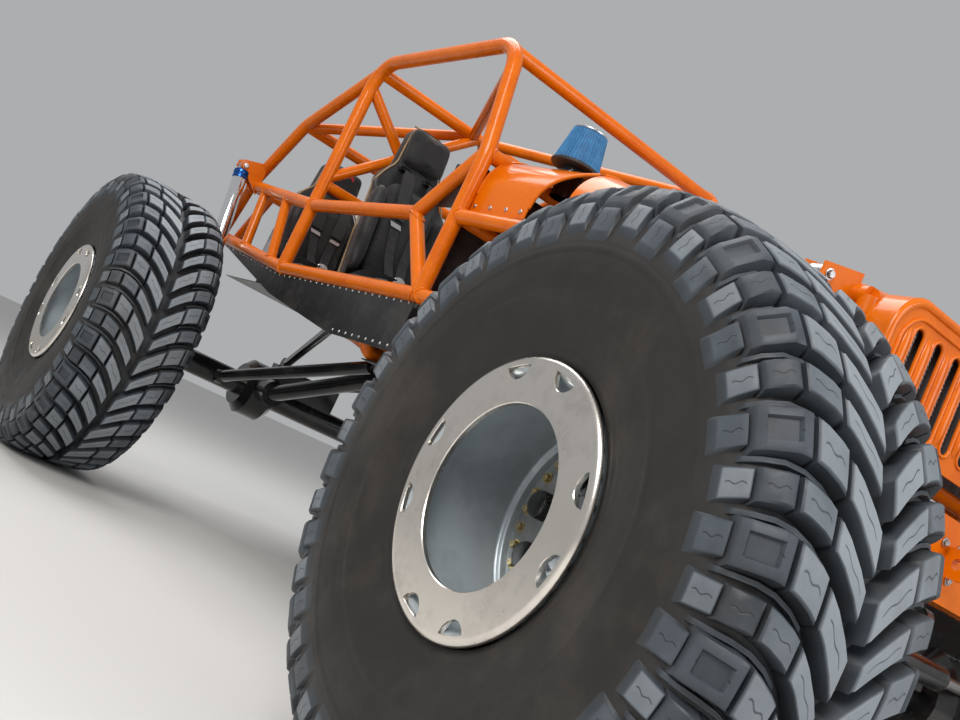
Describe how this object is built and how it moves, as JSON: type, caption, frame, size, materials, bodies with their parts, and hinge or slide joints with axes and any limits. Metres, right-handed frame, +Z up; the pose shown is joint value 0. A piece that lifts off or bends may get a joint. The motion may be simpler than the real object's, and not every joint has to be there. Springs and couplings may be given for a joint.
{
  "type": "four-seat tube-frame off-road buggy",
  "caption": "Open tube-frame rock buggy on very large lugged tyres, with solid axles, long coil shocks, bucket seats and front steering.",
  "frame": {"origin": "on the floor, at the middle of the vehicle's bounding box", "axes": "+Z up, -Y towards the nose, +X towards the vehicle's left side"},
  "size_m": [2.595, 4.9694, 2.316],
  "materials": {
    "orange_coat": "gloss orange powder coat",
    "orange_panel": "gloss orange paint on formed sheet",
    "black_panel": "satin black paint on sheet",
    "black_link": "gloss black paint on steel",
    "cast_black": "painted cast iron",
    "bright_steel": "bright machined steel",
    "polished": "polished and plated metal",
    "cast_alloy": "satin cast aluminium",
    "wheel_alloy": "satin spun aluminium",
    "ring_alloy": "brushed and polished aluminium",
    "tyre_rubber": "dusty dark blue-grey rubber",
    "seat_cloth": "black woven cloth over foam",
    "filter_blue": "blue pleated oiled cotton",
    "hand_grip": "matt black grip",
    "core_alloy": "finned cooling core",
    "tank_alloy": "bare sheet tank"
  },
  "bodies": {
    "chassis": {"frame_side_left": "orange_coat", "frame_side_right": "orange_coat", "frame_main_hoop": "orange_coat", "frame_roof": "orange_coat", "frame_rear": "orange_coat", "frame_front": "orange_coat", "frame_floor": "orange_coat", "belly_skid": "black_panel", "side_skirts": "black_panel", "floor_pan": "black_panel", "firewall": "black_panel", "cowl_panel": "orange_panel", "hood_panel": "orange_panel", "grille_shell": "orange_panel", "front_bumper": "orange_coat", "engine_block": "cast_black", "engine_top": "cast_alloy", "exhaust_headers": "bright_steel", "gearbox": "cast_alloy", "air_filter": "filter_blue", "radiator": "core_alloy", "fuel_cell": "tank_alloy", "dash_panel": "black_panel", "seat_front_left": "seat_cloth", "seat_front_right": "seat_cloth", "seat_rear_left": "seat_cloth", "seat_rear_right": "seat_cloth", "steering_column": "black_link", "axle_front": "black_link", "axle_rear": "black_link", "links_front": "black_link", "links_rear": "black_link", "shocks_front": "polished", "shocks_rear": "polished", "driveshafts": "black_link"},
    "steering_wheel": {"steering_wheel": "hand_grip"},
    "knuckle_left": {"knuckle_left": "black_link"},
    "knuckle_right": {"knuckle_right": "black_link"},
    "steer_rod": {"steer_rod": "bright_steel"},
    "wheel_front_left": {"tyre_front_left": "tyre_rubber", "rim_front_left": "wheel_alloy", "bead_ring_front_left": "ring_alloy"},
    "wheel_front_right": {"tyre_front_right": "tyre_rubber", "rim_front_right": "wheel_alloy", "bead_ring_front_right": "ring_alloy"},
    "wheel_rear_left": {"tyre_rear_left": "tyre_rubber", "rim_rear_left": "wheel_alloy", "bead_ring_rear_left": "ring_alloy"},
    "wheel_rear_right": {"tyre_rear_right": "tyre_rubber", "rim_rear_right": "wheel_alloy", "bead_ring_rear_right": "ring_alloy"}
  },
  "joints": [
    {"name": "steer_right", "type": "hinge", "parent": "chassis", "child": "knuckle_right", "pos_m": [-0.845, -1.8, 0.68475], "axis": [0, 0, 1], "range_deg": [-30, 30]},
    {"name": "steer_left", "type": "hinge", "parent": "chassis", "child": "knuckle_left", "pos_m": [0.845, -1.8, 0.68475], "axis": [0, 0, 1], "range_deg": [-30, 30]},
    {"name": "rod_slide", "type": "slide", "parent": "chassis", "child": "steer_rod", "axis": [1, 0, 0], "range_m": [-0.076, 0.076]},
    {"name": "hand_wheel", "type": "hinge", "parent": "chassis", "child": "steering_wheel", "pos_m": [0.276, 0.43, 1.575], "axis": [0, 0.9063, 0.4226], "range_deg": [-240, 240]},
    {"name": "spin_front_left", "type": "hinge", "parent": "knuckle_left", "child": "wheel_front_left", "pos_m": [1.05, -1.8, 0.68475], "axis": [1, 0, 0], "continuous": true},
    {"name": "spin_front_right", "type": "hinge", "parent": "knuckle_right", "child": "wheel_front_right", "pos_m": [-1.05, -1.8, 0.68475], "axis": [1, 0, 0], "continuous": true},
    {"name": "spin_rear_left", "type": "hinge", "parent": "chassis", "child": "wheel_rear_left", "pos_m": [1.05, 1.8, 0.68475], "axis": [1, 0, 0], "continuous": true},
    {"name": "spin_rear_right", "type": "hinge", "parent": "chassis", "child": "wheel_rear_right", "pos_m": [-1.05, 1.8, 0.68475], "axis": [1, 0, 0], "continuous": true}
  ],
  "couplings": [
    {"joint": "steer_left", "follows": "steer_right", "ratio": 1},
    {"joint": "rod_slide", "follows": "steer_right", "m_per_rad": 0.1432},
    {"joint": "hand_wheel", "follows": "steer_right", "ratio": 8}
  ]
}
